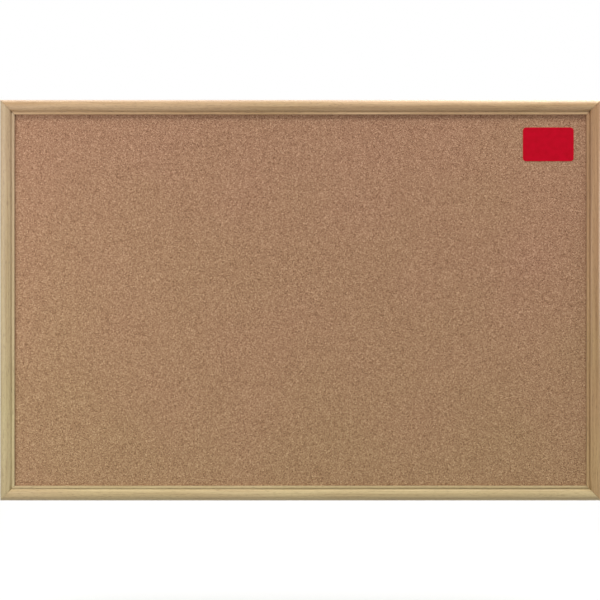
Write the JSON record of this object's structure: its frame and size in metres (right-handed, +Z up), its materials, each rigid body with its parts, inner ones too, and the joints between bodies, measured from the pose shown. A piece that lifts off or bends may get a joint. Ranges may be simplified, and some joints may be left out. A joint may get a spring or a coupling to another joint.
{
  "type": "cork noticeboard",
  "caption": "Wall-hung cork noticeboard in a mitred oak frame, with a softboard core, a hardboard back, a blank corner label and swinging hanging rings.",
  "frame": {"origin": "on the wall plane, behind the middle of the board", "axes": "+X to the right as seen from the front, along the board's width; +Y from the board into the wall, so the cork faces -Y; +Z up"},
  "size_m": [0.9, 0.025, 0.6],
  "materials": {
    "oak": "satin",
    "cork": "matte",
    "softboard": "matte",
    "hardboard": "matte",
    "label": "satin",
    "nail_steel": "satin",
    "zinc_plated_steel": "satin",
    "rubber": "matte"
  },
  "bodies": {
    "framed_board": {"top_rail": "oak", "bottom_rail": "oak", "left_stile": "oak", "right_stile": "oak", "cork_sheet": "cork", "softboard_core": "softboard", "hardboard_back": "hardboard", "corner_label": "label", "mitre_nail_top_left_1": "nail_steel", "mitre_nail_top_left_2": "nail_steel", "mitre_nail_top_right_1": "nail_steel", "mitre_nail_top_right_2": "nail_steel", "mitre_nail_bottom_left_1": "nail_steel", "mitre_nail_bottom_left_2": "nail_steel", "mitre_nail_bottom_right_1": "nail_steel", "mitre_nail_bottom_right_2": "nail_steel", "retaining_point_top_1": "nail_steel", "retaining_point_top_2": "nail_steel", "retaining_point_top_3": "nail_steel", "retaining_point_top_4": "nail_steel", "retaining_point_bottom_1": "nail_steel", "retaining_point_bottom_2": "nail_steel", "retaining_point_bottom_3": "nail_steel", "retaining_point_bottom_4": "nail_steel", "retaining_point_left_1": "nail_steel", "retaining_point_left_2": "nail_steel", "retaining_point_left_3": "nail_steel", "retaining_point_right_1": "nail_steel", "retaining_point_right_2": "nail_steel", "retaining_point_right_3": "nail_steel", "left_hanger_strap": "zinc_plated_steel", "left_hanger_screw_upper": "zinc_plated_steel", "left_hanger_screw_lower": "zinc_plated_steel", "right_hanger_strap": "zinc_plated_steel", "right_hanger_screw_upper": "zinc_plated_steel", "right_hanger_screw_lower": "zinc_plated_steel", "bumper_top_left": "rubber", "bumper_top_right": "rubber", "bumper_bottom_left": "rubber", "bumper_bottom_right": "rubber"},
    "left_ring": {"left_hanging_ring": "zinc_plated_steel"},
    "right_ring": {"right_hanging_ring": "zinc_plated_steel"}
  },
  "joints": [
    {"name": "left_ring_swing", "type": "hinge", "parent": "framed_board", "child": "left_ring", "pos_m": [-0.44215, -0.0027, 0.22], "axis": [1, 0, 0], "range_deg": [0, 180]},
    {"name": "right_ring_swing", "type": "hinge", "parent": "framed_board", "child": "right_ring", "pos_m": [0.44215, -0.0027, 0.22], "axis": [1, 0, 0], "range_deg": [0, 180]}
  ]
}
